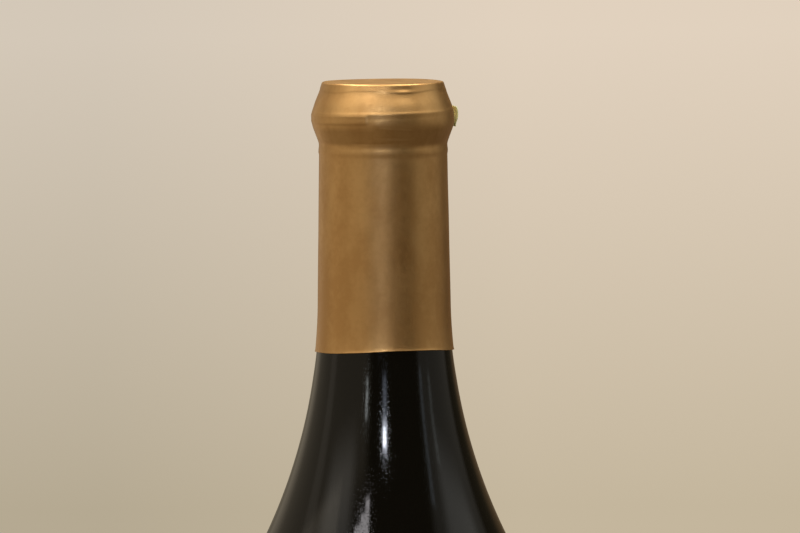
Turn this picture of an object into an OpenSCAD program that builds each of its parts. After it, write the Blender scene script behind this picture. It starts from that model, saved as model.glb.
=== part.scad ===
// Wine bottle of 750 ml with sloping shoulders, closed by a shrunk-on capsule with a tear tab.
// The bottle stands on +Z, with its origin at the centre of the ring it rests on.
// It is shut and its glass can't be seen through, so the glass node is solid within its outer skin.

/* [Body] */
// Height of the glass, from the ring it rests on to the rim under the capsule
bottle_h = 296; // [240:1:360]
// Diameter of the straight body
body_d = 81.5; // [66:0.5:100]
// Radius of the heel, where the body turns in to the base
heel_r = 8; // [6:0.5:10]

/* [Shoulder and neck] */
// Steepest slope of the shoulder, in degrees from upright
shoulder_slope = 26; // [22:0.5:32]
// Radius of the hollow curve that opens the neck into the shoulder
flare_r = 119.5; // [95:0.5:145]
// How far below the rim the neck starts to open
flare_drop = 47; // [38:0.5:60]
// Diameter of the neck where it starts to open
neck_d = 27.8; // [23:0.1:34]
// Slope of each side of the neck, in degrees from upright
neck_taper = 0.95; // [0.5:0.05:1.5]

/* [Finish] */
// How far the ring round the mouth stands out from the neck
ring_out = 1.65; // [1.3:0.05:2.5]
// How far below the rim the ring is widest
ring_drop = 7.6; // [6:0.1:10]
// Radius of the ring's bulging side
ring_bulge_r = 5.8; // [4.5:0.1:8]
// Slope of the ring's underside, in degrees from upright
ring_under_slope = 20.5; // [15:0.5:35]
// Radius of the hollow where the ring meets the neck
ring_neck_r = 4.3; // [1:0.1:6]
// How far the rim lies inside the ring, measured where its flat top would meet the cone
rim_in = 2.05; // [1.5:0.05:2.5]
// Radius that rounds the rim's outer edge
rim_edge_r = 0.6; // [0.4:0.1:1]

/* [Base] */
// Depth of the punt, the hollow pushed up into the base
punt_depth = 26; // [12:1:40]
// Radius of the punt's rounded tip
punt_tip_r = 13; // [8:1:16]
// Radius at the foot of the punt, where it turns down to the resting ring
punt_foot_r = 4; // [2:0.5:6]
// Width of the flat ring that the bottle rests on
rest_w = 2.5; // [1:0.5:4]

/* [Capsule] */
// Length of the capsule, from its top to the edge of its skirt
capsule_l = 58; // [45:0.5:70]
// Thickness of the shrunk film
film_t = 0.25; // [0.15:0.05:0.5]
// Clearance between the film and the glass
film_gap = 0.05; // [0.02:0.01:0.1]

/* [Tear tab] */
// Height of the tab, which is the width of the tear tape
tab_w = 4.3; // [3:0.1:6]
// Length of tape left free
tab_l = 7; // [5:0.5:10]
// Thickness of the tape
tab_t = 0.2; // [0.15:0.05:0.4]
// Radius of the free tape's slight curl
tab_curl_r = 45; // [25:5:200]
// Direction of the tab's root seen from above, in degrees from -Y towards +X
tab_root_angle = 128; // [0:1:360]
// How far the middle of the tab is above the widest line of the ring
tab_rise = 0.5; // [-1:0.1:1.5]
// Clearance between the tab's root and the capsule
tab_gap = 0.03; // [0.02:0.01:0.1]

/* [Hidden] */
$fn = 180;
// Degrees between the points along an arc
arc_step = 2.5;

body_r = body_d / 2;

// Points are [distance from the axis, height]. Arcs touch their neighbours, so the outlines have no corners
// apart from the edges of the rim's top and the skirt.
function on_arc(centre, r, angle) = centre + r * [cos(angle), sin(angle)];
function arc(centre, r, from, to) =
    let (steps = ceil(abs(to - from) / arc_step))
    [for (i = [0:steps]) on_arc(centre, r, from + (to - from) * i / steps)];
function turn(v) = atan2(v[1], v[0]);
function but_last(points) = [for (i = [0:len(points) - 2]) points[i]];
function reversed(points) = [for (i = [len(points) - 1:-1:0]) points[i]];

// Neck and shoulder: the hollow flare leaves the neck at its taper and reaches the steepest slope,
// and the round shoulder takes that slope back to the upright body.
flare_top = [neck_d / 2, bottle_h - flare_drop];
flare_c = flare_top + flare_r * [cos(neck_taper), sin(neck_taper)];
flare_end = on_arc(flare_c, flare_r, 180 + shoulder_slope);
shoulder_r = (body_r - flare_end[0]) / (1 - cos(shoulder_slope));
shoulder_c = [body_r - shoulder_r, flare_end[1] - shoulder_r * sin(shoulder_slope)];

// Finish: the ring bulges about ring_c, the rim is rounded about rim_c, and one cone touches both.
ring_r = neck_d / 2 - (flare_drop - ring_drop) * tan(neck_taper) + ring_out;
ring_c = [ring_r - ring_bulge_r, bottle_h - ring_drop];
rim_c = [ring_r - rim_in - rim_edge_r, bottle_h - rim_edge_r];
ring_to_rim = rim_c - ring_c;
cone_angle = turn(ring_to_rim) - acos((ring_bulge_r - rim_edge_r) / norm(ring_to_rim));

// The ring's underside is a straight slope. The hollow below it touches that slope and the neck.
neck_normal = [cos(neck_taper), sin(neck_taper)];
under_normal = [cos(ring_under_slope), -sin(ring_under_slope)];
neck_line = flare_top * neck_normal + ring_neck_r;
under_line = ring_c * under_normal + ring_bulge_r + ring_neck_r;
hollow_c = [
    (neck_line * under_normal[1] - under_line * neck_normal[1]),
    (under_line * neck_normal[0] - neck_line * under_normal[0])
] / (neck_normal[0] * under_normal[1] - neck_normal[1] * under_normal[0]);

// Base: heel, resting ring and punt. The punt's cone touches its foot on one side and its tip on the other.
heel_c = [body_r - heel_r, heel_r];
rest_in_r = body_r - heel_r - rest_w;
foot_c = [rest_in_r, punt_foot_r];
tip_c = [0, punt_depth - punt_tip_r];
tip_to_foot = foot_c - tip_c;
punt_angle = turn(tip_to_foot) + acos((punt_tip_r + punt_foot_r) / norm(tip_to_foot));

// Capsule and tab, placed from the finish that they cover.
capsule_top = bottle_h + film_gap + film_t;
skirt_z = capsule_top - capsule_l;
capsule_ring_r = ring_r + film_gap + film_t;
tab_sweep = tab_l / tab_curl_r * 180 / PI;

// Outline from the end of the flare up to the axis at the mouth, all of it grown outwards by grow.
function neck_outline(grow) = concat(
    arc(flare_c, flare_r - grow, 180 + shoulder_slope, 180 + neck_taper),
    arc(hollow_c, ring_neck_r - grow, 180 + neck_taper, 180 - ring_under_slope),
    arc(ring_c, ring_bulge_r + grow, -ring_under_slope, cone_angle),
    arc(rim_c, rim_edge_r + grow, cone_angle, 90),
    [[0, bottle_h + grow]]
);

// Outline from the axis at the punt's tip, out under the base and up the body to the end of the flare.
function body_outline() = concat(
    arc(tip_c, punt_tip_r, 90, punt_angle),
    arc(foot_c, punt_foot_r, punt_angle + 180, 270),
    arc(heel_c, heel_r, 270, 360),
    but_last(arc(shoulder_c, shoulder_r, 0, shoulder_slope))
);

// The stretch of an outline above height z, with a point on it at that height.
function above(outline, z) = concat(
    [[lookup(z, [for (p = outline) [p[1], p[0]]]), z]],
    [for (p = outline) if (p[1] > z) p]
);

module bottle() {
    color("#14140f")
        rotate_extrude()
        polygon(concat(body_outline(), neck_outline(0)));
}

module capsule() {
    color("#b98a4a")
        rotate_extrude()
        polygon(concat(
            above(neck_outline(film_gap + film_t), skirt_z),
            reversed(above(neck_outline(film_gap), skirt_z))
        ));
}

// The end of the tear tape. It leaves the capsule's ring along a tangent and curls less than the ring does.
module tear_tab() {
    color("#8f8a3c")
        rotate([0, 0, tab_root_angle - 90])
        translate([capsule_ring_r + tab_gap - tab_curl_r, 0, ring_c[1] + tab_rise - tab_w / 2])
        rotate([0, 0, -tab_sweep])
        rotate_extrude(angle = tab_sweep)
        translate([tab_curl_r, 0]) square([tab_t, tab_w]);
}

bottle();
capsule();
tear_tab();
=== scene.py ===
"""Looks of a closed wine bottle: dark glass, a shrunk gold capsule and the end of its tear tape.

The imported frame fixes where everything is. This add-on replaces its three plain solids with finished
surfaces and sets up a small studio round them. Lengths are in metres and angles in degrees. An azimuth
is 0 at the front, towards -Y, and 90 at the right, towards +X. A drop is a distance below the
capsule's top."""

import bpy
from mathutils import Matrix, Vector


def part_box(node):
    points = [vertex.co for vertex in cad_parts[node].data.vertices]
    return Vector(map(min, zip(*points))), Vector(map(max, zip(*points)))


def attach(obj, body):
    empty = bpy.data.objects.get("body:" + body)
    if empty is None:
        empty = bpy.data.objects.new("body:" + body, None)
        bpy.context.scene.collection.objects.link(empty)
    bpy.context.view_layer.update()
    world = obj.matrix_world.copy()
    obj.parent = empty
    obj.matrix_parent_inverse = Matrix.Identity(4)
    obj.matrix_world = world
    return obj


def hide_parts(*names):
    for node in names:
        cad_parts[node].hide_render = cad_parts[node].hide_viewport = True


bl_info = {
    "name": "Wine Bottle",
    "version": (1, 0, 0),
    "blender": (4, 5, 0),
    "location": "3D View > Sidebar > Wine Bottle",
    "description": "Glass, shrunk capsule and tear tab of a wine bottle, with a soft studio",
    "category": "Add Mesh",
}

import math

import bpy
import numpy as np
from bpy.props import FloatProperty, FloatVectorProperty, IntProperty, PointerProperty
from mathutils import Quaternion, Vector

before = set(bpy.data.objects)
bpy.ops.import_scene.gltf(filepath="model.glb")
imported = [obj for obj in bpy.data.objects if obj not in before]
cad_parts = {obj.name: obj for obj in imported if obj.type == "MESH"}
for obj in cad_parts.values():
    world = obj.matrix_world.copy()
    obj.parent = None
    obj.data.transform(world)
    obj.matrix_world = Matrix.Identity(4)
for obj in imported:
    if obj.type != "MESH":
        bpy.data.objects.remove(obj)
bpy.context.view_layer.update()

MM = 0.001
BOTTLE_LOW, BOTTLE_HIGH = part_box("bottle")
CAPSULE_LOW, CAPSULE_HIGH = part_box("capsule")
TAB_LOW, TAB_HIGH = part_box("tear_tab")


# --- Settings ---

def length(name, description, default, low=0.0, high=1.0):
    """A distance in metres, shown with enough digits for hundredths of a millimetre."""
    return FloatProperty(
        name=name, description=description, default=default, min=low, max=high,
        subtype="DISTANCE", unit="LENGTH", precision=5,
    )


def degrees(name, description, default, low=-360.0, high=360.0):
    """An angle kept in degrees, as the outline's formulas use it."""
    return FloatProperty(name=name, description=description, default=default, min=low, max=high)


def share(name, description, default, low=0.0, high=1.0):
    """A plain number without a unit."""
    return FloatProperty(name=name, description=description, default=default, min=low, max=high)


def colour(name, description, default):
    """A linear colour without alpha."""
    return FloatVectorProperty(
        name=name, description=description, default=default, min=0.0, soft_max=1.0,
        size=3, subtype="COLOR",
    )


class OutlineSizes(bpy.types.PropertyGroup):
    """Half outline of the bottle, shared by the glass and by the film that is shrunk on it."""

    height: length("Height", "From the ring the bottle rests on to its rim", BOTTLE_HIGH.z)
    body_d: length("Body", "Diameter of the straight body", BOTTLE_HIGH.x - BOTTLE_LOW.x)
    heel_r: length("Heel", "Radius where the body turns in to the base", 8 * MM)
    shoulder_slope: degrees("Shoulder slope", "Steepest slope of the shoulder from upright", 26)
    flare_r: length("Flare", "Radius of the hollow curve between neck and shoulder", 119.5 * MM)
    flare_drop: length("Flare start", "How far below the rim the neck starts to open", 47 * MM)
    neck_d: length("Neck", "Diameter of the neck where it starts to open", 27.8 * MM)
    neck_taper: degrees("Neck taper", "Slope of the neck's sides from upright", 0.95)
    ring_out: length("Ring", "How far the ring stands out from the neck", 1.65 * MM)
    ring_drop: length("Ring drop", "How far below the rim the ring is widest", 7.6 * MM)
    ring_bulge_r: length("Ring bulge", "Radius of the ring's bulging side", 5.8 * MM)
    ring_under_slope: degrees("Ring underside", "Slope of the ring's underside", 20.5)
    ring_neck_r: length("Ring hollow", "Radius where the ring meets the neck", 4.3 * MM)
    rim_in: length("Rim inset", "How far the rim lies inside the ring", 2.05 * MM)
    rim_edge_r: length("Rim edge", "Radius that rounds the rim's outer edge", 0.6 * MM)
    punt_depth: length("Punt", "Depth of the hollow in the base", 26 * MM)
    punt_tip_r: length("Punt tip", "Radius of the punt's rounded tip", 13 * MM)
    punt_foot_r: length("Punt foot", "Radius at the foot of the punt", 4 * MM)
    rest_w: length("Resting ring", "Width of the flat ring the bottle rests on", 2.5 * MM)


class GlassFinish(bpy.types.PropertyGroup):
    """Blown glass: its small unevenness and its surface."""

    columns: IntProperty(name="Columns", description="Faces round the bottle", default=384, min=48)
    ripple: length("Ripple", "Height of the blown wall's slow waves", 0.018 * MM)
    seam: length("Mould seam", "Height of the two mould seams", 0.07 * MM)
    knurl: length("Knurls", "Depth of the notches round the resting ring", 0.25 * MM)
    knurls: IntProperty(name="Knurl count", description="Notches round the ring", default=96, min=8)
    tint: colour("Glass", "Colour of the glass with the wine behind it", (0.0014, 0.0012, 0.0008))
    roughness: share("Roughness", "Roughness of clean glass", 0.05)
    index: share("Index", "Refractive index of the glass", 1.52, 1.0, 2.0)
    dust: colour("Dust", "Colour of the few specks of dust", (0.19, 0.18, 0.16))


class CapsuleFinish(bpy.types.PropertyGroup):
    """Shrunk film: thickness, the tear tape under it, its fold, its edge and its metallic print."""

    columns: IntProperty(name="Columns", description="Faces round the film", default=400, min=48)
    film_t: length("Film", "Thickness of the film", 0.25 * MM)
    film_gap: length("Clearance", "Clearance between the film and the glass", 0.05 * MM)
    tape_up: length("Tape", "How far the tape lifts the film", 0.11 * MM)
    tape_drop: length("Tape's lower edge", "Drop of the tape's lower edge at the front", 6.35 * MM)
    tape_pitch: length("Tape pitch", "How far the tape climbs in one turn", 1.55 * MM)
    fold_up: length("Fold", "How far the folded layer under the tape stands out", 0.1 * MM)
    fold_end: degrees("Fold end", "Azimuth where the folded layer ends", -12.4)
    ledge: length("Ledge", "Height of the ledge above the tape", 0.05 * MM)
    edge_rise: length("Edge rise", "How far the skirt's edge is higher at the front", 1.05 * MM)
    lip: length("Lip", "How far the skirt's edge curls out", 0.12 * MM)
    gold: colour("Gold", "Metallic print", (0.80, 0.485, 0.19))
    # Deep gold darkens the print in random clouds, and as painted shade in a band low on the skirt.
    gold_deep: colour("Deep gold", "Print where it is rubbed and darker", (0.66, 0.37, 0.13))
    roughness: share("Roughness", "Roughness of the print", 0.4)
    lacquer: share("Lacquer", "Share of clear lacquer over the print", 0.3)
    lacquer_roughness: share("Lacquer roughness", "Roughness of the lacquer", 0.4)


class TabFinish(bpy.types.PropertyGroup):
    """The free end of the tear tape."""

    root_angle: degrees("Root", "Azimuth where the tape leaves the capsule", 128)
    free_l: length("Length", "Length of tape left free", 7 * MM)
    curl_r: length("Curl", "Radius of the tape's slight curl", 45 * MM)
    gap: length("Gap", "Clearance between the tape's root and the capsule", 0.03 * MM)
    thickness: length("Thickness", "Thickness of the tape", 0.2 * MM)
    green: colour("Tape", "Colour of the tape", (0.66, 0.68, 0.33))
    green_deep: colour("Deep tape", "Colour of the tape's darker clouds", (0.56, 0.57, 0.27))
    roughness: share("Roughness", "Roughness of the tape", 0.42)


class StudioSettings(bpy.types.PropertyGroup):
    """Camera, floor, backdrop and the strength of the fill light."""

    distance: length("Distance", "From the camera to the point it looks at", 1.6, high=10.0)
    elevation: degrees("Elevation", "Height of the camera over the horizon", 4.4)
    roll: degrees("Roll", "How far the camera leans to its side", -0.385)
    view_w: length("View width", "Width of what the camera sees at the bottle", 170.6 * MM)
    aim_drop: length("Aim drop", "How far below the capsule's top the camera looks", 39.55 * MM)
    aim_side: length("Aim side", "How far right of the axis the camera looks", 3.42 * MM)
    floor_r: length("Floor", "Radius of the floor before it fades out", 1.2, high=10.0)
    floor_fade: length("Floor fade", "Width of the floor's fading edge", 0.5, high=10.0)
    floor: colour("Floor colour", "Colour of the floor", (0.34, 0.315, 0.275))
    wall_low_left: colour("Backdrop low left", "Backdrop at its lower left", (0.462, 0.397, 0.287))
    wall_low_right: colour("Backdrop low right", "Backdrop at its lower right", (0.552, 0.468, 0.337))
    wall_high_left: colour("Backdrop high left", "Backdrop at its upper left", (0.658, 0.578, 0.479))
    wall_high_right: colour("Backdrop high right", "Backdrop at its upper right", (0.752, 0.638, 0.515))
    fill: share("Fill", "Strength of the soft light on matt surfaces", 0.8, high=5.0)


SETTINGS = {
    "bottle_outline": OutlineSizes,
    "bottle_glass": GlassFinish,
    "bottle_capsule": CapsuleFinish,
    "bottle_tab": TabFinish,
    "bottle_studio": StudioSettings,
}


# --- Outline of the bottle ---

# Columns of an outline.
R, Z, NORMAL_R, NORMAL_Z, SPACING = range(5)
# Degrees between the points of an arc before its rows are spread.
ARC_STEP = 0.05
# Spacing on the rim's edge and across the flat top, as shares of the head's, and on the heel and the
# punt's foot, as a share of the body's.
RIM_SHARE = 0.8
TOP_SHARE = 8
HEEL_SHARE = 0.5


def circle_point(centre, radius, angle):
    """Point of a circle at an angle from the direction away from the axis."""
    turn = math.radians(angle)
    return centre + radius * np.array([math.cos(turn), math.sin(turn)])


def arc(centre, radius, start, end, spacing, side=1):
    """Round stretch of an outline. Its points are centre + radius * (cos a, sin a) for the angles a
    from start to end, and the outward normal is the ray times side, -1 for a hollow stretch."""
    angle = np.radians(np.linspace(start, end, int(abs(end - start) / ARC_STEP) + 2))
    ray = np.stack([np.cos(angle), np.sin(angle)], axis=1)
    return np.column_stack([centre + radius * ray, side * ray, np.full(len(angle), spacing)])


def angle_of(vector):
    """Angle of a vector from the direction away from the axis."""
    return math.degrees(math.atan2(vector[1], vector[0]))


def line_angle(gap, radii):
    """Angle between the line of two centres and the normal of the straight line that touches both
    circles: the arc cosine of the radii's difference, or sum, over the gap."""
    return math.degrees(math.acos(radii / np.linalg.norm(gap)))


def neck_outline(size, grow, head_spacing, neck_spacing):
    """Outline from the shoulder's steepest point over the flare, the neck, the ring and the rim to
    the axis, all of it grown outwards by grow. Neighbouring arcs share their tangents."""
    taper, under = size.neck_taper, size.ring_under_slope
    flare_top = np.array([size.neck_d / 2, size.height - size.flare_drop])
    flare_c = circle_point(flare_top, size.flare_r, taper)
    rise = (size.flare_drop - size.ring_drop) * math.tan(math.radians(taper))
    ring_r = size.neck_d / 2 - rise + size.ring_out
    ring_c = np.array([ring_r - size.ring_bulge_r, size.height - size.ring_drop])
    rim_c = np.array([ring_r - size.rim_in - size.rim_edge_r, size.height - size.rim_edge_r])
    cone = angle_of(rim_c - ring_c) - line_angle(rim_c - ring_c, size.ring_bulge_r - size.rim_edge_r)
    neck_normal = circle_point(0, 1, taper)
    under_normal = circle_point(0, 1, -under)
    offsets = [
        flare_top @ neck_normal + size.ring_neck_r,
        ring_c @ under_normal + size.ring_bulge_r + size.ring_neck_r,
    ]
    hollow_c = np.linalg.solve([neck_normal, under_normal], offsets)
    steep = 180 + size.shoulder_slope
    return np.vstack([
        arc(flare_c, size.flare_r - grow, steep, 180 + taper, neck_spacing, side=-1),
        arc(hollow_c, size.ring_neck_r - grow, 180 + taper, 180 - under, head_spacing, side=-1),
        arc(ring_c, size.ring_bulge_r + grow, -under, cone, head_spacing),
        arc(rim_c, size.rim_edge_r + grow, cone, 90, head_spacing * RIM_SHARE),
        [[0, size.height + grow, 0, 1, head_spacing * TOP_SHARE]],
    ])


def body_outline(size, spacing, straight_spacing):
    """Outline from the tip of the punt down to the resting ring, round the heel and up the body to
    the shoulder's steepest point."""
    body_r = size.body_d / 2
    flare_c = circle_point(
        np.array([size.neck_d / 2, size.height - size.flare_drop]), size.flare_r, size.neck_taper
    )
    slope = math.radians(size.shoulder_slope)
    flare_end = circle_point(flare_c, size.flare_r, 180 + size.shoulder_slope)
    shoulder_r = (body_r - flare_end[0]) / (1 - math.cos(slope))
    shoulder_c = np.array([body_r - shoulder_r, flare_end[1] - shoulder_r * math.sin(slope)])
    heel_c = np.array([body_r - size.heel_r, size.heel_r])
    foot_c = np.array([body_r - size.heel_r - size.rest_w, size.punt_foot_r])
    tip_c = np.array([0, size.punt_depth - size.punt_tip_r])
    punt = angle_of(foot_c - tip_c) + line_angle(foot_c - tip_c, size.punt_tip_r + size.punt_foot_r)
    return np.vstack([
        arc(tip_c, size.punt_tip_r, 90, punt, spacing, side=-1),
        arc(foot_c, size.punt_foot_r, punt + 180, 270, spacing * HEEL_SHARE),
        arc(heel_c, size.heel_r, 270, 360, spacing * HEEL_SHARE),
        [[body_r, size.heel_r, 1, 0, straight_spacing]],
        [[body_r, shoulder_c[1], 1, 0, straight_spacing]],
        arc(shoulder_c, shoulder_r, 0, size.shoulder_slope, spacing),
    ])


def spread_rows(outline):
    """Points along an outline, as far apart as its spacing column asks. The row count at each point is
    the sum of step length / spacing so far, and the rows stand where that count is whole."""
    step = np.linalg.norm(np.diff(outline[:, [R, Z]], axis=0), axis=1)
    spacing = (outline[1:, SPACING] + outline[:-1, SPACING]) / 2
    count = np.concatenate([[0], np.cumsum(step / spacing)])
    rows = np.linspace(0, count[-1], int(count[-1]) + 1)
    return np.stack([np.interp(rows, count, column) for column in outline.T], axis=1)


# --- Helpers for shapes ---

def ramp(value, low, high):
    """Smooth step from 0 at low to 1 at high: 3t^2 - 2t^3."""
    t = np.clip((value - low) / (high - low), 0, 1)
    return t * t * (3 - 2 * t)


def hump(value, centre, half_width):
    """Bell of height 1: exp(-t^2), with t the distance from the centre in half widths."""
    return np.exp(-(((value - centre) / half_width) ** 2))


def away(azimuth, centre):
    """Signed angle from centre to azimuth, from -180 to 180."""
    return (azimuth - centre + 180) % 360 - 180


def waves(azimuth, height, seed, count, turns, wavelength):
    """Slow random unevenness from -1 to 1: the mean of count sines that run round the bottle, each a
    whole number of times up to turns, and along it, at wavelengths from the given one to five of it."""
    random = np.random.default_rng(seed)
    total = np.zeros(np.broadcast(azimuth, height).shape)
    for _ in range(count):
        around = random.integers(-turns, turns + 1)
        along = random.uniform(0.2, 1.0) * 2 * math.pi / wavelength
        phase = random.uniform(0, 6.28)
        total = total + np.sin(np.radians(azimuth) * around + height * along + phase)
    return total / count


def on_axis(radius, azimuth, height):
    """Points at a distance from the axis, an azimuth and a height."""
    turn = np.radians(azimuth)
    x, y, z = np.broadcast_arrays(radius * np.sin(turn), -radius * np.cos(turn), height)
    return np.stack([x, y, z], axis=-1)


def closed_grid(rows):
    """Faces of a surface that closes round the axis and ends in a pole at each end. rows has the
    shape (rows, columns, 3), and its first and last rows each become one point."""
    count, columns = rows.shape[:2]
    points = np.vstack([rows[0, :1], rows[1:-1].reshape(-1, 3), rows[-1, :1]])
    here = 1 + np.arange((count - 2) * columns).reshape(count - 2, columns)
    right = np.roll(here, -1, axis=1)
    quads = np.stack([here[:-1], right[:-1], right[1:], here[1:]], axis=-1).reshape(-1, 4)
    first, last = np.zeros(columns, int), np.full(columns, len(points) - 1)
    low_fan = np.stack([first, right[0], here[0]], axis=1)
    high_fan = np.stack([last, here[-1], right[-1]], axis=1)
    return points, quads, np.vstack([low_fan, high_fan])


def make_mesh(name, points, quads, triangles=None):
    """Mesh of quads and triangles, smooth, filled from whole arrays."""
    triangles = np.zeros((0, 3), int) if triangles is None else triangles
    sides = np.repeat([4, 3], [len(quads), len(triangles)])
    corners = np.concatenate([quads.ravel(), triangles.ravel()])
    mesh = bpy.data.meshes.new(name)
    mesh.vertices.add(len(points))
    mesh.vertices.foreach_set("co", np.asarray(points, np.float32).ravel())
    mesh.loops.add(len(corners))
    mesh.loops.foreach_set("vertex_index", corners.astype(np.int32))
    mesh.polygons.add(len(sides))
    mesh.polygons.foreach_set("loop_start", (np.cumsum(sides) - sides).astype(np.int32))
    mesh.polygons.foreach_set("use_smooth", np.ones(len(sides), bool))
    mesh.update(calc_edges=True)
    if mesh.validate():
        raise RuntimeError(f"{name}: its faces are not valid")
    return mesh


def add_object(name, mesh, material):
    """Object at the origin, with its place in its mesh."""
    mesh.materials.append(material)
    piece = bpy.data.objects.new(name, mesh)
    bpy.context.scene.collection.objects.link(piece)
    return piece


# --- Helpers for materials ---

class Nodes:
    """Short way to build a node tree: each call adds a node, and fills or links its inputs."""

    def __init__(self, tree):
        self.tree = tree
        tree.nodes.clear()

    def add(self, kind, inputs=None, **values):
        """Node with attributes from values, and with inputs filled, or linked where given a socket."""
        node = self.tree.nodes.new(kind)
        for key, value in values.items():
            setattr(node, key, value)
        for key, value in (inputs or {}).items():
            if isinstance(value, bpy.types.NodeSocket):
                self.tree.links.new(value, node.inputs[key])
            else:
                node.inputs[key].default_value = value
        return node

    def math(self, operation, *values, **settings):
        node = self.add("ShaderNodeMath", dict(enumerate(values)), operation=operation, **settings)
        return node.outputs[0]

    def vector(self, operation, inputs):
        return self.add("ShaderNodeVectorMath", inputs, operation=operation)

    def window(self, value, inner, outer):
        """1 where value is under inner, falling smoothly to 0 at outer."""
        inputs = {"Value": value, "From Min": inner, "From Max": outer, "To Min": 1.0, "To Max": 0.0}
        return self.add("ShaderNodeMapRange", inputs, interpolation_type="SMOOTHSTEP").outputs[0]

    def noise(self, place, scale, detail=2.0, roughness=0.5):
        """Noise from 0 to 1 at a number of features per metre."""
        inputs = {"Vector": place, "Scale": scale, "Detail": detail, "Roughness": roughness}
        return self.add("ShaderNodeTexNoise", inputs).outputs["Fac"]

    def between(self, value, low, high, to_low=0.0, to_high=1.0):
        """Straight step from to_low where value is low to to_high where it is high."""
        inputs = {"Value": value, "From Min": low, "From Max": high, "To Min": to_low, "To Max": to_high}
        return self.add("ShaderNodeMapRange", inputs).outputs[0]

    def bump(self, relief, depth, strength):
        """Normal bent by a relief from 0 to 1 that stands for a depth."""
        inputs = {"Height": relief, "Strength": strength, "Distance": depth}
        return self.add("ShaderNodeBump", inputs).outputs[0]

    def blend(self, share, first, second):
        """Colour mix: first where share is 0, second where it is 1."""
        inputs = {"Factor": share, "A": first, "B": second}
        node = self.add("ShaderNodeMix", data_type="RGBA")
        for key, value in inputs.items():
            socket = next(s for s in node.inputs if s.name == key and s.enabled)
            if isinstance(value, bpy.types.NodeSocket):
                self.tree.links.new(value, socket)
            else:
                socket.default_value = value
        return next(s for s in node.outputs if s.enabled)


def new_material(name):
    """Material, its empty node tree and the Object coordinates that its patterns follow."""
    material = bpy.data.materials.new(name)
    material.use_nodes = True
    nodes = Nodes(material.node_tree)
    return material, nodes, nodes.add("ShaderNodeTexCoord").outputs["Object"]


def rgba(value):
    """Colour with a full alpha."""
    return (*value, 1.0)


def stretched(nodes, place, scale):
    """Object coordinates scaled along each axis, for patterns that are longer one way."""
    return nodes.add("ShaderNodeMapping", {"Vector": place, "Scale": scale}).outputs[0]


# Patterns of the materials, in features per metre.
WIPED_DENSITY, DUST_DENSITY, PIT_DENSITY, DRAG_DENSITY = 55, 170, 3400, 2300
TONE_DENSITY, GRAIN_DENSITY, MOTTLE_DENSITY = 190, 2600, 700
LINE_DENSITY, CLOUD_DENSITY = 2600, 420
FLOOR_DENSITY = 9

# Depth that each bump map stands for at full strength, and its strength.
GLASS_BUMP, GLASS_BUMP_SHARE = 0.02 * MM, 0.32
FILM_BUMP, FILM_BUMP_SHARE = 0.03 * MM, 0.1
TAPE_BUMP, TAPE_BUMP_SHARE = 0.03 * MM, 0.2

# Noise levels between which pits deepen. Dust: cell values between which specks come in, the radii where
# a speck starts and ends to fade, and its roughness.
PIT_START, PIT_FULL = 0.57, 0.78
RARE_START, RARE_FULL = 0.80, 0.82
SPECK_INNER, SPECK_OUTER = 0.012, 0.03
DUST_ROUGHNESS = 0.8


def glass_material(look):
    """Near-black glass: mirror-like, with a sparse pitting that breaks up highlights, faint upright
    drag lines, wiped areas that are a little rougher, and a few specks of dust."""
    material, nodes, place = new_material("dark_glass")
    wiped = nodes.noise(stretched(nodes, place, (1, 1, 0.45)), WIPED_DENSITY, 4, 0.6)
    rough = nodes.between(wiped, 0.45, 0.8, look.roughness * 0.75, look.roughness * 1.9)
    cells = nodes.add("ShaderNodeTexVoronoi", {"Vector": place, "Scale": DUST_DENSITY, "Randomness": 1.0})
    speck = nodes.window(cells.outputs["Distance"], SPECK_INNER, SPECK_OUTER)
    rare = nodes.between(cells.outputs["Color"], RARE_START, RARE_FULL)
    dust = nodes.math("MULTIPLY", speck, rare)
    pits = nodes.between(nodes.noise(place, PIT_DENSITY, 1, 0.5), PIT_START, PIT_FULL)
    drag = nodes.noise(stretched(nodes, place, (1, 1, 0.02)), DRAG_DENSITY, 3, 0.6)
    relief = nodes.math("ADD", pits, nodes.math("MULTIPLY", drag, 0.6))
    bump = nodes.bump(relief, GLASS_BUMP, GLASS_BUMP_SHARE)
    shader = nodes.add("ShaderNodeBsdfPrincipled", {
        "Base Color": nodes.blend(dust, rgba(look.tint), rgba(look.dust)),
        "Roughness": nodes.math("MAXIMUM", rough, nodes.math("MULTIPLY", dust, DUST_ROUGHNESS)),
        "IOR": look.index,
        "Normal": bump,
    })
    nodes.add("ShaderNodeOutputMaterial", {"Surface": shader.outputs[0]})
    return material


# Painted shade: a band low on the capsule where the print is darkened, so that the lamp's glow seems to
# fade downwards. Its middle over the skirt's edge, half its height, and its share of the deeper tone.
PAINTED_SHADE_UP = 12 * MM
PAINTED_SHADE_HALF = 22 * MM
PAINTED_SHADE_SHARE = 0.45


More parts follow.
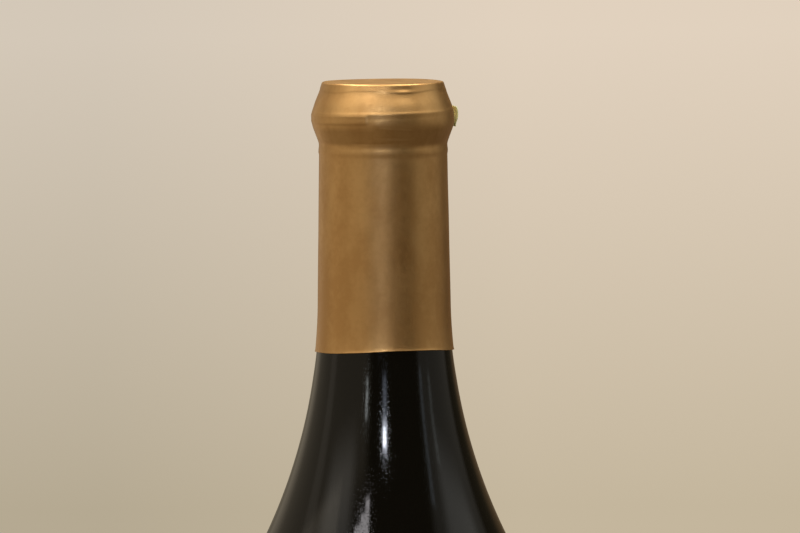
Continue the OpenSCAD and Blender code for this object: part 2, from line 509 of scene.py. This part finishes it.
def film_material(look):
    """Gold metallic print under clear lacquer: slow changes of tone, a painted shade that darkens a band
    low on the skirt, fine grain in its gloss, and a grain and orange peel in its surface."""
    material, nodes, place = new_material("gold_film")
    tone = nodes.noise(stretched(nodes, place, (1, 1, 0.5)), TONE_DENSITY, 4, 0.55)
    grain = nodes.noise(place, GRAIN_DENSITY, 3, 0.65)
    mottle = nodes.noise(place, MOTTLE_DENSITY, 3, 0.6)
    # Painted shade: the print darkens in a band low on the skirt, standing in for the lamp's glow fading
    # downwards.
    height = nodes.add("ShaderNodeSeparateXYZ", {0: place}).outputs["Z"]
    off_band = nodes.math("ABSOLUTE", nodes.math("SUBTRACT", height, CAPSULE_LOW.z + PAINTED_SHADE_UP))
    painted_shade = nodes.math("MULTIPLY", nodes.window(off_band, 0, PAINTED_SHADE_HALF), PAINTED_SHADE_SHARE)
    print_tone_and_shade = nodes.between(nodes.math("ADD", tone, nodes.math("MULTIPLY", mottle, 0.4)), 0.55, 0.9)
    print_tone_and_shade = nodes.math("ADD", print_tone_and_shade, painted_shade, use_clamp=True)
    rough = nodes.between(nodes.math("ADD", mottle, grain), 0.7, 1.3, 0.85, 1.15)
    relief = nodes.math("ADD", nodes.math("MULTIPLY", grain, 0.35), mottle)
    bump = nodes.bump(relief, FILM_BUMP, FILM_BUMP_SHARE)
    shader = nodes.add("ShaderNodeBsdfPrincipled", {
        "Base Color": nodes.blend(print_tone_and_shade, rgba(look.gold), rgba(look.gold_deep)),
        "Metallic": 1.0,
        "Roughness": nodes.math("MULTIPLY", rough, look.roughness),
        "Coat Weight": look.lacquer,
        "Coat Roughness": look.lacquer_roughness,
        "Normal": bump,
    })
    nodes.add("ShaderNodeOutputMaterial", {"Surface": shader.outputs[0]})
    return material


def tape_material(look):
    """Greenish gold tape with darker clouds and fine lengthwise lines."""
    material, nodes, place = new_material("tear_tape")
    lines = nodes.noise(stretched(nodes, place, (0.15, 0.15, 1)), LINE_DENSITY, 2, 0.6)
    cloud = nodes.between(nodes.noise(place, CLOUD_DENSITY, 3, 0.6), 0.35, 0.65)
    bump = nodes.bump(lines, TAPE_BUMP, TAPE_BUMP_SHARE)
    shader = nodes.add("ShaderNodeBsdfPrincipled", {
        "Base Color": nodes.blend(cloud, rgba(look.green), rgba(look.green_deep)),
        "Roughness": nodes.between(lines, 0.3, 0.7, look.roughness * 0.85, look.roughness * 1.15),
        "Normal": bump,
    })
    nodes.add("ShaderNodeOutputMaterial", {"Surface": shader.outputs[0]})
    return material


# --- Glass ---

# Distance between rows: base and shoulder, straight body, flare and bare neck, and under the capsule.
SHOULDER_SPACING = 1.6 * MM
STRAIGHT_SPACING = 3.4 * MM
FLARE_SPACING = 1.0 * MM
COVERED_SPACING = 1.4 * MM

# The relief grows between two heights over the heel, and fades below the capsule and at the poles.
# It goes inwards within BODY_FADE of the body's full radius.
RELIEF_START, RELIEF_FULL = 3 * MM, 9 * MM
COVERED_FADE = 6 * MM
BODY_FADE = 3 * MM
POLE_FADE = 4 * MM
WAVE_LENGTH = 34 * MM
SEAM_HALF_WIDTH = 0.35 * MM
SEAM_AZIMUTHS = (90, -90)

# The knurls' band: its half width across the resting ring, and the heights between which it ends.
KNURL_HALF_WIDTH = 3.2 * MM
KNURL_LOW, KNURL_HIGH = 1 * MM, 3 * MM


def glass_surface(size, look):
    """Surface of revolution: an outline point plus its normal times a small relief. The relief is slow
    waves, two upright mould seams at the sides, each a bell across it, and knurls on the resting ring,
    cosine notches. The body lies deeper by the waves and the seams, so that they stay within its
    diameter."""
    body = body_outline(size, SHOULDER_SPACING, STRAIGHT_SPACING)
    neck = neck_outline(size, 0, COVERED_SPACING, FLARE_SPACING)
    outline = spread_rows(np.vstack([body, neck]))[:, None, :]
    radius, height = outline[..., R], outline[..., Z]
    azimuth = np.linspace(-180, 180, look.columns, endpoint=False)[None, :]
    body_r = size.body_d / 2
    bare = 1 - ramp(height, CAPSULE_LOW.z - COVERED_FADE, CAPSULE_LOW.z)
    above_heel = ramp(height, RELIEF_START, RELIEF_FULL)
    side_gap = np.min([abs(away(azimuth, side)) for side in SEAM_AZIMUTHS], axis=0)
    seam = hump(np.radians(side_gap) * radius, 0, SEAM_HALF_WIDTH) * above_heel
    slow = waves(azimuth, height, seed=11, count=9, turns=5, wavelength=WAVE_LENGTH)
    relief = look.ripple * slow + look.seam * seam
    relief = relief - (look.ripple + look.seam) * ramp(radius, body_r - BODY_FADE, body_r)
    ring_r = body_r - size.heel_r - size.rest_w / 2
    foot = hump(radius, ring_r, KNURL_HALF_WIDTH) * (1 - ramp(height, KNURL_LOW, KNURL_HIGH))
    notch = (np.cos(np.radians(azimuth) * look.knurls) - 1) / 2
    relief = relief * bare * above_heel * ramp(radius, 0, POLE_FADE) + look.knurl * notch * foot
    points = on_axis(
        radius + relief * outline[..., NORMAL_R], azimuth, height + relief * outline[..., NORMAL_Z]
    )
    points[..., 2] = np.maximum(points[..., 2], 0)
    return closed_grid(points)


# --- Capsule ---

# Distance between rows: round the head, down the skirt, at its edge, and inside. From the edge up the
# rows grow apart by EDGE_GROWTH of the distance.
HEAD_SPACING = 0.17 * MM
SKIRT_SPACING = 0.8 * MM
EDGE_SPACING = 0.1 * MM
EDGE_GROWTH = 0.35
INNER_SPACING = 2.2 * MM

# The skirt's wavy edge: how far it is raised all round, its hollow at the back, its ripples, the stretch
# of skirt that moves with it, and the outline kept below the frame's edge for it.
EDGE_UP, EDGE_BACK, EDGE_RIPPLE = 0.55 * MM, 0.4 * MM, 0.05 * MM
EDGE_REACH = 14 * MM
EDGE_SPARE = 3 * MM
# How far up the lip's curl dies away, and the azimuth and half width where it is pressed flat.
LIP_LENGTH = 0.22 * MM
LIP_FLAT, LIP_FLAT_HALF = -62, 24
# Least distance from the glass of the film's inner and outer walls.
INNER_LEAST, OUTER_LEAST = 0.01 * MM, 0.06 * MM

# Bands of the film: the drops of the ledge and the bead, how far they wander, the lengths over which a
# band starts and ends, the widths of the tape's lip and the fold, and the bead's height.
LEDGE_DROP, LEDGE_WAVE = 1.72 * MM, 0.25 * MM
LEDGE_ABOVE, LEDGE_BELOW, LEDGE_FLAT, LEDGE_FALL = 0.2 * MM, 0.15 * MM, 0.2 * MM, 2.8 * MM
TAPE_RISE, TAPE_EDGE, TAPE_FALL = 3.4 * MM, 0.05 * MM, 1.0 * MM
LIP_SHARE, LIP_HALF = 0.4, 0.3 * MM
FOLD_WIDTH, FOLD_START, FOLD_ABOVE, FOLD_BELOW = 2.0 * MM, 0.4 * MM, 0.45 * MM, 0.35 * MM
BEAD_START, BEAD_FULL, BEAD_DROP = 13.0 * MM, 14.7 * MM, 15.1 * MM
BEAD_WAVE, BEAD_EDGE, BEAD_UP = 0.2 * MM, 0.25 * MM, 0.13 * MM
# Slow waves: height, length, and the drop by which they are full. HEAD_R measures a dent's width.
SLOW_UP, SLOW_LENGTH, SLOW_START = 0.022 * MM, 9 * MM, 4 * MM
HEAD_R = 14 * MM

# The flat top: its depth below the rim, where the rim starts and is full, its height, and how much lower
# the dips of its far side are.
TOP_DEPTH = 0.2 * MM
RIM_START, RIM_FULL = 10.9 * MM, 11.9 * MM
RIM_UP, RIM_DIP = 0.17 * MM, 0.09 * MM
# The rim's edge: how far it stands out, and the middle and half width of its bell, in degrees of slope.
CORNER_UP = 0.13 * MM
CORNER_SLOPE, CORNER_HALF = 55, 20
# Normals' upward share from which an outline point starts to count, and fully counts, as the top.
TOP_START, TOP_FULL = 0.6, 0.95

# Shallow dents, and bumps of negative depth, where the film has shrunk unevenly: azimuth, then drop,
# half width, half height and depth in millimetres.
DENTS = (
    (19, 1.05, 2.2, 0.45, 0.09),
    (69, 1.9, 1.0, 0.6, 0.1),
    (0.5, 17.3, 0.9, 1.6, 0.035),
    (20, 21.3, 0.9, 0.9, 0.02),
    (-43, 44.3, 1.5, 1.1, 0.03),
    (-20, 53.5, 0.8, 1.8, 0.025),
    (-14, 54.6, 0.7, 0.9, 0.03),
    (-5, 8.5, 1.3, 1.0, -0.08),
    (-32, 14.75, 2.2, 0.35, -0.05),
)

# Short creases under the ring: first and last azimuth, then drop at each end, half height and height in
# millimetres.
CREASES = (
    (-8, 28, 9.2, 9.9, 0.16, 0.035),
    (-12, 26, 11.2, 11.4, 0.16, -0.035),
    (-2, 27, 11.9, 11.9, 0.2, 0.05),
    (-34, 24, 12.6, 12.55, 0.2, -0.05),
    (100, 160, 9.6, 10.2, 0.2, 0.04),
    (-150, -105, 11.0, 10.5, 0.2, -0.04),
)


def edge_height(azimuth, look):
    """Height of the skirt's wavy edge: the frame's height, raised a little, with a hump at the front
    right, a hollow at the back and ripples."""
    front = hump(away(azimuth, 18), 0, 54)
    back = hump(away(azimuth, -160), 0, 60)
    ripple = waves(azimuth, 0, seed=5, count=6, turns=14, wavelength=1)
    wavy = EDGE_UP + look.edge_rise * front - EDGE_BACK * back + EDGE_RIPPLE * ripple
    return CAPSULE_LOW.z + wavy


def film_relief(azimuth, drop, look, root_angle):
    """How far the film stands out from its smooth outline. From the top down it is a shallow ledge, the
    tape's raised band with a lip along its lower edge, the folded layer under it, the bead under the
    ring, and dents and short creases, all on top of slow waves. The tape's edge is a helix that climbs
    by the pitch in one turn, up to the tab's root."""
    turn = away(azimuth, root_angle - 180) + root_angle - 180
    tape_low = look.tape_drop - look.tape_pitch * turn / 360
    ledge_low = LEDGE_DROP + LEDGE_WAVE * np.sin(np.radians(5 * azimuth - 10))
    ledge = ramp(drop, ledge_low - LEDGE_ABOVE, ledge_low + LEDGE_BELOW)
    ledge = ledge * (1 - ramp(drop, ledge_low + LEDGE_FLAT, ledge_low + LEDGE_FALL))
    pressed = hump(away(azimuth, 21), 0, 10)
    ledge = ledge * (0.75 + 0.25 * np.sin(np.radians(3 * azimuth + 20)) + 0.9 * pressed)
    tape = ramp(drop, ledge_low, ledge_low + TAPE_RISE)
    tape = tape * (1 - ramp(drop, tape_low - TAPE_EDGE, tape_low + TAPE_FALL))
    tape = tape + LIP_SHARE * hump(drop, tape_low - TAPE_EDGE, LIP_HALF)
    fold_low = tape_low + FOLD_WIDTH
    fold = 1 - ramp(drop, fold_low - FOLD_ABOVE, fold_low + FOLD_BELOW)
    fold = fold * ramp(drop, tape_low, tape_low + FOLD_START)
    fold = fold * (1 - ramp(away(azimuth, look.fold_end), -1.2, 0.4)) * (azimuth > root_angle - 360)
    bead_low = BEAD_DROP + BEAD_WAVE * hump(azimuth, -85, 25)
    bead = ramp(drop, BEAD_START, BEAD_FULL) * (1 - ramp(drop, bead_low - BEAD_EDGE, bead_low + BEAD_EDGE))
    relief = look.tape_up * tape - look.ledge * ledge + look.fold_up * fold + BEAD_UP * bead
    for centre, *sizes in DENTS:
        middle, half_w, half_h, depth = (size * MM for size in sizes)
        across = np.radians(away(azimuth, centre)) * HEAD_R
        relief = relief - depth * hump(across, 0, half_w) * hump(drop, middle, half_h)
    for first, last, *sizes in CREASES:
        start, end, half_h, up = (size * MM for size in sizes)
        along = (azimuth - first) / (last - first)
        ends = ramp(along, 0, 0.3) * (1 - ramp(along, 0.7, 1))
        relief = relief + up * ends * hump(drop, start + (end - start) * along, half_h)
    slow = waves(azimuth, drop, seed=3, count=10, turns=9, wavelength=SLOW_LENGTH)
    return relief + SLOW_UP * slow * ramp(drop, 0, SLOW_START)


def top_relief(radius, azimuth):
    """The capsule's top lies a little below its rim, and the far side of the rim dips in soft waves."""
    wave = 0.5 + 0.5 * np.sin(np.radians(3 * azimuth + 30))
    far = ramp(-np.cos(np.radians(azimuth)), -0.2, 0.4)
    rim = ramp(radius, RIM_START, RIM_FULL)
    return rim * (RIM_UP - RIM_DIP * far * (1 - wave)) - TOP_DEPTH


def rim_corner(normal_r, normal_z):
    """The film is drawn tight over the rim's edge: a bell over the outline's slope."""
    return CORNER_UP * hump(np.degrees(np.arctan2(normal_z, normal_r)), CORNER_SLOPE, CORNER_HALF)


def film_rows(outline, edge):
    """An outline's stretch above the skirt's edge, with the rows near the edge moved along the outline
    so that the first one follows the edge."""
    outline = outline[outline[:, Z] > CAPSULE_LOW.z - EDGE_SPARE]
    step = np.linalg.norm(np.diff(outline[:, [R, Z]], axis=0), axis=1)
    along = np.concatenate([[0], np.cumsum(step)])
    bottom = np.interp(CAPSULE_LOW.z, outline[:, Z], along)
    fine = EDGE_SPACING + EDGE_GROWTH * np.maximum(along - bottom, 0)
    outline[:, SPACING] = np.minimum(outline[:, SPACING], fine)
    kept = spread_rows(outline[along >= bottom])
    step = np.linalg.norm(np.diff(kept[:, [R, Z]], axis=0), axis=1)
    place = (bottom + np.concatenate([[0], np.cumsum(step)]))[:, None]
    near = 1 - ramp(place, bottom, bottom + EDGE_REACH)
    place = place + near * (edge - CAPSULE_LOW.z)[None, :]
    return np.stack([np.interp(place, along, column) for column in outline.T[:4]], axis=-1)


def capsule_surface(size, look, root_angle):
    """Closed shell: the inner wall from the axis down to the skirt's edge, then the outer wall back up.
    The outer wall is the grown outline plus its normal times the relief. The inner wall keeps the
    film's thickness, except where that would press it into the glass."""
    azimuth = np.linspace(-180, 180, look.columns, endpoint=False)
    edge = edge_height(azimuth, look)
    shift = look.film_gap + look.film_t
    fine = neck_outline(size, shift, HEAD_SPACING, SKIRT_SPACING)
    coarse = neck_outline(size, look.film_gap, INNER_SPACING, INNER_SPACING)
    curled = 1 - hump(away(azimuth, LIP_FLAT), 0, LIP_FLAT_HALF)

    def raised(outline, least):
        """Rows moved along their normals by the relief, at least by least, and the lip curled out."""
        rows = film_rows(outline, edge)
        drop = CAPSULE_HIGH.z - rows[..., Z]
        side = film_relief(azimuth[None, :], drop, look, root_angle)
        flat = ramp(rows[..., NORMAL_Z], TOP_START, TOP_FULL)
        top = top_relief(rows[..., R], azimuth[None, :]) * flat
        above_edge = rows[..., Z] - edge[None, :]
        curl = look.lip * np.exp(-above_edge / LIP_LENGTH) * curled
        relief = side * (1 - flat) + top + curl + rim_corner(rows[..., NORMAL_R], rows[..., NORMAL_Z])
        relief = np.maximum(relief, least)
        return on_axis(
            rows[..., R] + relief * rows[..., NORMAL_R],
            azimuth[None, :],
            rows[..., Z] + relief * rows[..., NORMAL_Z],
        )

    inner = raised(coarse, INNER_LEAST - look.film_gap)
    outer = raised(fine, OUTER_LEAST - shift)
    rows = np.concatenate([inner[::-1], outer])
    rows[..., 2] = np.minimum(rows[..., 2], CAPSULE_HIGH.z)
    return closed_grid(rows)


# --- Tear tab ---

# Points along and across the strip.
TAB_ALONG = 40
TAB_ACROSS = 24

# Shares of the length torn off at the lower and the upper edge, how far the free end sinks, how high
# the strip waves, and how far its upper edge leans in.
TORN_LOW, TORN_HIGH = 0.13, 0.03
TAB_SINK = 0.4 * MM
TAB_WAVE = 0.09 * MM
TAB_LEAN = 0.1 * MM


def tab_surface(look):
    """Thin bent strip. u runs from the root at 0 to the free end at 1, and v from the lower edge to the
    upper one. The middle line is an arc that leaves the capsule's ring along a tangent. The free end is
    torn, shorter at its edges and most at the lower one, and the strip waves a little across its width."""
    sweep = look.free_l / look.curl_r
    u = np.linspace(0, 1, TAB_ALONG)[:, None]
    v = np.linspace(0, 1, TAB_ACROSS)[None, :]
    half_w = (TAB_HIGH.z - TAB_LOW.z) / 2
    middle = (TAB_HIGH.z + TAB_LOW.z) / 2
    reach = 1 - TORN_LOW * ramp(1 - v, 0.55, 1) - TORN_HIGH * ramp(v, 0.85, 1)
    height = middle + half_w * (2 * v - 1) - TAB_SINK * ramp(u, 0.3, 1)
    wave = TAB_WAVE * ramp(u, 0.2, 1) * np.sin(2.4 * math.pi * v + 3 * u)
    wave = wave - TAB_LEAN * ramp(u, 0.5, 1) * v
    angle = -sweep * u * reach
    ring_r = CAPSULE_HIGH.x

    def face(lift):
        """One face of the strip, lifted from its inner radius."""
        radius = look.curl_r + lift + wave
        along = ring_r + look.gap - look.curl_r + radius * np.cos(angle)
        across = radius * np.sin(angle)
        turn = math.radians(look.root_angle - 90)
        x = along * math.cos(turn) - across * math.sin(turn)
        y = along * math.sin(turn) + across * math.cos(turn)
        return np.stack([x, y, height + np.zeros_like(x)], axis=-1)

    inner, outer = face(0), face(look.thickness)
    points = np.concatenate([outer.reshape(-1, 3), inner.reshape(-1, 3)])
    grid = np.arange(TAB_ALONG * TAB_ACROSS).reshape(TAB_ALONG, TAB_ACROSS)
    back = grid + grid.size
    outer_faces = [grid[:-1, :-1], grid[:-1, 1:], grid[1:, 1:], grid[1:, :-1]]
    inner_faces = [back[:-1, :-1], back[1:, :-1], back[1:, 1:], back[:-1, 1:]]
    rim = np.concatenate([grid[:, 0], grid[-1, 1:], grid[-2::-1, -1], grid[0, -2:0:-1]])
    rim_next = np.roll(rim, -1)
    quads = np.concatenate([
        np.stack(outer_faces, axis=-1).reshape(-1, 4),
        np.stack(inner_faces, axis=-1).reshape(-1, 4),
        np.stack([rim, rim_next, rim_next + grid.size, rim + grid.size], axis=1),
    ])
    return points, quads


# --- Studio ---

# What the glass and the film mirror: azimuth, elevation, half width, half height, soft edge, colour.
# An azimuth says where a light stands round the bottle, 0 being the camera's side.
SHADE_LIGHT = (4.5, 4.3, 4.4)
ROOM_LIGHTS = (
    ("left wall", -92, 6, 66, 26, 14, (0.25, 0.215, 0.165)),
    ("left pane", -94, 14, 6, 24, 6, (0.16, 0.145, 0.125)),
    ("left alcove", -60, 38, 17, 16, 16, (0.58, 0.55, 0.5)),
    ("left floor", -70, -48, 76, 36, 24, (0.08, 0.066, 0.045)),
    ("right wall", 90, 14, 32, 26, 10, (0.19, 0.18, 0.16)),
    ("right alcove", 92, 34, 18, 15, 14, (0.42, 0.42, 0.4)),
    ("near sash", 60.5, 19, 2.2, 12, 2, (0.28, 0.34, 0.4)),
    ("far sash", 76.5, 14, 2.2, 7, 2, (0.33, 0.37, 0.37)),
    ("back wall", -160, 4, 22, 30, 14, (0.14, 0.12, 0.09)),
    ("back corner", 165, 4, 18, 30, 14, (0.08, 0.045, 0.02)),
    ("ceiling", 0, 55, 180, 5, 3, (3.1, 2.86, 2.53)),
    ("zenith", 0, 90, 180, 30, 3, (0.9, 0.83, 0.72)),
    ("left skylight", -101, 66, 52, 14, 5, (3.3, 3.1, 2.8)),
    ("right skylight", 103, 66, 52, 14, 5, (3.0, 2.85, 2.5)),
    ("left cornice", -100, 37, 42, 10, 5, (0.42, 0.37, 0.29)),
    ("lamp", -0.6, 22.4, 2.6, 1.9, 1.6, (25.0, 26.0, 29.0)),
    ("lamp ends", -0.6, 22.3, 2.5, 3.4, 2.8, (7.6, 8.0, 9.2)),
    ("lamp glow", -0.3, 14.6, 2.8, 4.2, 3.5, (1.2, 1.35, 1.65)),
    ("low glow", -4, -5, 8, 8, 6, (0.44, 0.48, 0.64)),
    ("door gap", -28.4, 14.2, 1.9, 3.9, 2.0, (2.9, 3.1, 3.1)),
    ("shade tip", -22.3, 39, 2.3, 5.2, 1.5, SHADE_LIGHT),
    ("shade side", -27.2, 40.8, 2.7, 4.2, 1.5, SHADE_LIGHT),
    ("shade", -33.4, 42, 3.5, 3.6, 1.5, SHADE_LIGHT),
)
FLOOR_LIGHT = (0.115, 0.09, 0.062)
DARK_FRONT = (0.06, 0.048, 0.028)
# Elevations between which the mirrored floor passes into the dark front.
HORIZON = (-14, 2)

# Ends of the backdrop's change of tone across and upwards, in half views from the view's middle.
WALL_SIDES = (-0.75, 0.3)
WALL_HEIGHTS = (-0.6, 0.58)

# Light on matt surfaces: its colour, and its level by how far up a direction points.
FILL_COLOUR = (1.0, 0.97, 0.92)
FILL_HEIGHTS = (-0.2, 1.0)
FILL_LEVELS = (0.25, 1.6)

# The floor: radii of its rings as shares of the outermost, which of them lie on its underside, its
# thickness, its distance below the resting ring, and the tone of its darker mottle.
FLOOR_RINGS = (0, 0.2, 0.5, 1.0, 1.0, 0)
FLOOR_UNDER = (0, 0, 0, 0, 1, 1)
FLOOR_T = 2 * MM
FLOOR_GAP = 0.05 * MM
FLOOR_COLUMNS = 96
FLOOR_DARKER = 0.96

SENSOR_W = 36


def mirrored_room(nodes, direction):
    """Sum of soft-edged lights in front of a dim floor and a dark wall. A light is its colour times a
    window over the azimuth times one over the elevation, both measured from its middle."""
    height = nodes.add("ShaderNodeSeparateXYZ", {0: direction}).outputs["Z"]
    elevation = nodes.math("DEGREES", nodes.math("ARCSINE", height))
    total = nodes.blend(nodes.between(elevation, *HORIZON), rgba(FLOOR_LIGHT), rgba(DARK_FRONT))

    def towards(azimuth):
        """How far the direction points to an azimuth, from -1 to 1."""
        turn = math.radians(azimuth)
        inputs = {0: direction, 1: (math.sin(turn), -math.cos(turn), 0)}
        return nodes.vector("DOT_PRODUCT", inputs).outputs["Value"]

    for _, azimuth, middle, half_w, half_h, soft, light in ROOM_LIGHTS:
        lift = nodes.math("ABSOLUTE", nodes.math("SUBTRACT", elevation, float(middle)))
        level = nodes.window(lift, half_h - soft / 2, half_h + soft / 2)
        if half_w < 180:
            turn = nodes.math("ARCTAN2", towards(azimuth + 90), towards(azimuth))
            turn = nodes.math("ABSOLUTE", nodes.math("DEGREES", turn))
            level = nodes.math("MULTIPLY", level, nodes.window(turn, half_w - soft / 2, half_w + soft / 2))
        lit = nodes.vector("SCALE", {0: light, "Scale": level}).outputs[0]
        total = nodes.vector("ADD", {0: total, 1: lit}).outputs[0]
    return total


def backdrop(nodes, direction, studio):
    """Plain wall behind the bottle, a little brighter to the right and upwards."""
    split = nodes.add("ShaderNodeSeparateXYZ", {0: direction}).outputs
    side = nodes.math("DEGREES", nodes.math("ARCTAN2", split["X"], split["Y"]))
    elevation = nodes.math("DEGREES", nodes.math("ARCSINE", split["Z"]))
    half_view = math.degrees(math.atan(studio.view_w / 2 / studio.distance))
    across = nodes.between(side, *(half_view * end for end in WALL_SIDES))
    upward = nodes.between(elevation, *(half_view * end - studio.elevation for end in WALL_HEIGHTS))
    low = nodes.blend(across, rgba(studio.wall_low_left), rgba(studio.wall_low_right))
    high = nodes.blend(across, rgba(studio.wall_high_left), rgba(studio.wall_high_right))
    return nodes.blend(upward, low, high)


def build_world(studio):
    """Light of the studio. The camera sees the plain backdrop, matt surfaces get an even soft light from
    above, and shiny ones mirror the room."""
    world = bpy.data.worlds.new("studio_world")
    world.use_nodes = True
    bpy.context.scene.world = world
    nodes = Nodes(world.node_tree)
    direction = nodes.add("ShaderNodeTexCoord").outputs["Generated"]
    height = nodes.add("ShaderNodeSeparateXYZ", {0: direction}).outputs["Z"]
    fill = nodes.math("MULTIPLY", nodes.between(height, *FILL_HEIGHTS, *FILL_LEVELS), studio.fill)
    soft = nodes.vector("SCALE", {0: FILL_COLOUR, "Scale": fill})
    ray = nodes.add("ShaderNodeLightPath")
    seen = nodes.blend(ray.outputs["Is Diffuse Ray"], mirrored_room(nodes, direction), soft.outputs[0])
    seen = nodes.blend(ray.outputs["Is Camera Ray"], seen, backdrop(nodes, direction, studio))
    light = nodes.add("ShaderNodeBackground", {"Color": seen, "Strength": 1.0})
    nodes.add("ShaderNodeOutputWorld", {"Surface": light.outputs[0]})


def floor_material(studio):
    """Matt pale floor with a faint mottle, which fades out with the distance from the axis."""
    material, nodes, place = new_material("studio_floor")
    mottle = nodes.noise(place, FLOOR_DENSITY, 3, 0.5)
    darker = tuple(FLOOR_DARKER * value for value in studio.floor)
    shader = nodes.add("ShaderNodeBsdfPrincipled", {
        "Base Color": nodes.blend(mottle, rgba(studio.floor), rgba(darker)),
        "Roughness": 0.9,
        "Specular IOR Level": 0.2,
    })
    far = nodes.vector("LENGTH", {0: place}).outputs["Value"]
    solid = nodes.window(far, studio.floor_r, studio.floor_r + studio.floor_fade)
    clear = nodes.add("ShaderNodeBsdfTransparent")
    mixed = nodes.add("ShaderNodeMixShader", {0: solid, 1: clear.outputs[0], 2: shader.outputs[0]})
    nodes.add("ShaderNodeOutputMaterial", {"Surface": mixed.outputs[0]})
    return material


def build_floor(studio):
    """Disc just under the resting ring: rings of points from the axis to the faded edge, closed by a
    pole above and one below."""
    radius = np.array(FLOOR_RINGS) * (studio.floor_r + studio.floor_fade)
    height = -FLOOR_T * np.array(FLOOR_UNDER) - FLOOR_GAP
    azimuth = np.linspace(-180, 180, FLOOR_COLUMNS, endpoint=False)
    rows = on_axis(radius[:, None], azimuth[None, :], height[:, None])[::-1]
    mesh = make_mesh("studio_floor", *closed_grid(rows))
    floor = add_object("studio_floor", mesh, floor_material(studio))
    floor.visible_glossy = False


def build_camera(studio):
    """Camera at its elevation in front of the bottle, looking at a point of the neck."""
    lift = math.radians(studio.elevation)
    aim = Vector((studio.aim_side, 0, CAPSULE_HIGH.z - studio.aim_drop))
    back = Vector((0, -math.cos(lift), math.sin(lift)))
    data = bpy.data.cameras.new("studio_camera")
    data.sensor_width = SENSOR_W
    data.lens = data.sensor_width * studio.distance / studio.view_w
    camera = bpy.data.objects.new("studio_camera", data)
    camera.location = aim + back * studio.distance
    camera.rotation_mode = "QUATERNION"
    lean = Quaternion((0, 0, 1), math.radians(studio.roll))
    camera.rotation_quaternion = back.to_track_quat("Z", "Y") @ lean
    bpy.context.scene.collection.objects.link(camera)
    bpy.context.scene.camera = camera


# --- Operators ---

class BOTTLE_OT_glass(bpy.types.Operator):
    """Make the glass bottle"""

    bl_idname = "bottle.glass"
    bl_label = "Glass"

    def execute(self, context):
        size, look = context.scene.bottle_outline, context.scene.bottle_glass
        mesh = make_mesh("bottle_glass", *glass_surface(size, look))
        piece = add_object("bottle_glass", mesh, glass_material(look))
        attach(piece, "root")
        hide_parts("bottle")
        return {"FINISHED"}


class BOTTLE_OT_capsule(bpy.types.Operator):
    """Make the shrunk capsule with its tape band"""

    bl_idname = "bottle.capsule"
    bl_label = "Capsule"

    def execute(self, context):
        scene = context.scene
        size, look = scene.bottle_outline, scene.bottle_capsule
        mesh = make_mesh("capsule_film", *capsule_surface(size, look, scene.bottle_tab.root_angle))
        piece = add_object("capsule_film", mesh, film_material(look))
        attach(piece, "root")
        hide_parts("capsule")
        return {"FINISHED"}


class BOTTLE_OT_tab(bpy.types.Operator):
    """Make the free end of the tear tape"""

    bl_idname = "bottle.tab"
    bl_label = "Tear tab"

    def execute(self, context):
        look = context.scene.bottle_tab
        piece = add_object("tape_tab", make_mesh("tape_tab", *tab_surface(look)), tape_material(look))
        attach(piece, "root")
        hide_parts("tear_tab")
        return {"FINISHED"}


class BOTTLE_OT_studio(bpy.types.Operator):
    """Make the floor, the light and the camera"""

    bl_idname = "bottle.studio"
    bl_label = "Studio"

    def execute(self, context):
        studio = context.scene.bottle_studio
        context.scene.view_settings.view_transform = "Standard"
        build_world(studio)
        build_floor(studio)
        build_camera(studio)
        return {"FINISHED"}


class BOTTLE_PT_sidebar(bpy.types.Panel):
    """Sizes and finishes of the bottle, and the buttons that make its pieces"""

    bl_idname = "BOTTLE_PT_sidebar"
    bl_label = "Wine Bottle"
    bl_space_type = "VIEW_3D"
    bl_region_type = "UI"
    bl_category = "Wine Bottle"

    def draw(self, context):
        for operator in OPERATORS:
            self.layout.operator(operator.bl_idname)
        for name, group in SETTINGS.items():
            box = self.layout.box()
            box.label(text=group.__name__)
            for key in group.__annotations__:
                box.prop(getattr(context.scene, name), key)


OPERATORS = (BOTTLE_OT_glass, BOTTLE_OT_capsule, BOTTLE_OT_tab, BOTTLE_OT_studio)
CLASSES = (*SETTINGS.values(), *OPERATORS, BOTTLE_PT_sidebar)


def register():
    for cls in CLASSES:
        bpy.utils.register_class(cls)
    for name, group in SETTINGS.items():
        setattr(bpy.types.Scene, name, PointerProperty(type=group))


def unregister():
    for name in SETTINGS:
        delattr(bpy.types.Scene, name)
    for cls in reversed(CLASSES):
        bpy.utils.unregister_class(cls)


def main():
    """Registers the add-on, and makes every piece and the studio."""
    register()
    bpy.ops.bottle.glass()
    bpy.ops.bottle.capsule()
    bpy.ops.bottle.tab()
    bpy.ops.bottle.studio()


if __name__ == "__main__":
    main()
